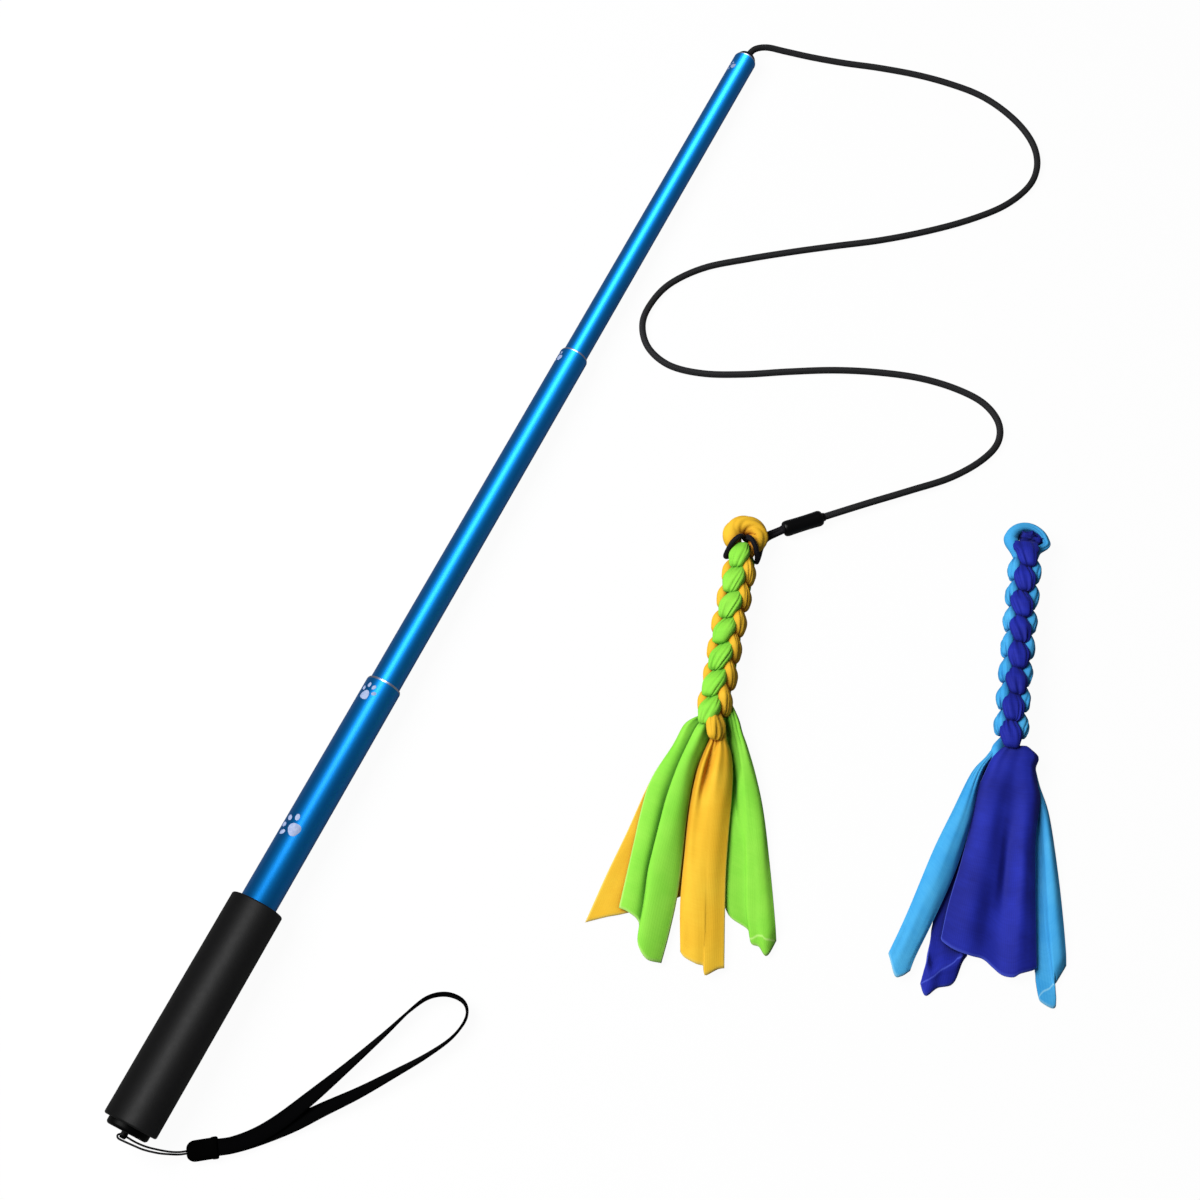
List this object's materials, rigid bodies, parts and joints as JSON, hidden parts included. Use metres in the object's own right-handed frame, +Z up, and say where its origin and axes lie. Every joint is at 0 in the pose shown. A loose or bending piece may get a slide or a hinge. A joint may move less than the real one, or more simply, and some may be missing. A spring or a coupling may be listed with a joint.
{
  "type": "dog flirt pole",
  "caption": "Telescoping dog flirt pole with a foam grip, wrist strap, elastic cord with a slip noose, a braided cloth lure in it and a spare lure beside it.",
  "frame": {"origin": "on the pole's axis in the middle of the grip, where a hand or clip holds it", "axes": "+Y along the pole towards the tip, +X to the side that the strap and cord lie on, +Z up from the floor that everything lies on"},
  "size_m": [0.4457, 0.8671, 0.0336],
  "materials": {
    "blue_tube": "glossy blue anodised",
    "foam": "matte closed-cell foam",
    "black_plastic": "satin black",
    "black_rubber": "matte black",
    "bush_metal": "plain spring bronze",
    "cord_black": "braided sheath",
    "webbing_black": "woven webbing",
    "cloth_yellow": "smooth stretch cloth",
    "cloth_green": "smooth stretch cloth",
    "cloth_light_blue": "smooth stretch cloth",
    "cloth_dark_blue": "smooth stretch cloth"
  },
  "bodies": {
    "handle": {"outer_tube": "blue_tube", "grip_sleeve": "foam", "end_plug": "black_plastic"},
    "middle_carrier": {"middle_bush": "bush_metal"},
    "middle_section": {"middle_tube": "blue_tube"},
    "tip_carrier": {"tip_bush": "bush_metal", "cord_stop": "cord_black", "cord": "cord_black"},
    "tip_section": {"tip_tube": "blue_tube", "tip_plug": "black_rubber"},
    "slider": {"cord_slider": "black_rubber"},
    "lure": {"noose_knot": "cord_black", "noose": "cord_black", "lure_knob": "cloth_yellow", "lure_braid": "cloth_green", "lure_tail_yellow_left": "cloth_yellow", "lure_tail_green_left": "cloth_green", "lure_tail_yellow_centre": "cloth_yellow", "lure_tail_green_right": "cloth_green"},
    "strap": {"strap_string": "cord_black", "strap_ferrule": "black_plastic", "wrist_strap": "webbing_black"},
    "spare_lure": {"spare_knob": "cloth_light_blue", "spare_braid": "cloth_dark_blue", "spare_tail_dark_left": "cloth_dark_blue", "spare_tail_light_left": "cloth_light_blue", "spare_tail_dark_centre": "cloth_dark_blue", "spare_tail_light_right": "cloth_light_blue"}
  },
  "joints": [
    {"name": "middle_slide", "type": "slide", "parent": "handle", "child": "middle_carrier", "axis": [0, -0.9999, 0.0119], "range_m": [0, 0.237]},
    {"name": "middle_turn", "type": "hinge", "parent": "middle_carrier", "child": "middle_section", "pos_m": [0, 0, 0], "axis": [0, 0.9999, -0.0119], "continuous": true},
    {"name": "tip_slide", "type": "slide", "parent": "middle_carrier", "child": "tip_carrier", "axis": [0, -0.9999, 0.0119], "range_m": [0, 0.251]},
    {"name": "tip_turn", "type": "hinge", "parent": "tip_carrier", "child": "tip_section", "pos_m": [0, 0, 0], "axis": [0, 0.9999, -0.0119], "continuous": true},
    {"name": "slider_slide", "type": "slide", "parent": "tip_carrier", "child": "slider", "axis": [0.7071, 0.7071, 0], "range_m": [0, 0.025]},
    {"name": "lure_swing", "type": "hinge", "parent": "tip_carrier", "child": "lure", "pos_m": [0.171, 0.418, -0.01179], "axis": [0, 0, 1], "range_deg": [-30, 10]},
    {"name": "strap_swing", "type": "hinge", "parent": "handle", "child": "strap", "pos_m": [-0.0005, -0.07439, 0.00089], "axis": [1, 0, 0], "range_deg": [0, 90]},
    {"name": "spare_lift", "type": "slide", "parent": "handle", "child": "spare_lure", "axis": [0, 0, 1], "range_m": [0, 0.2]}
  ]
}
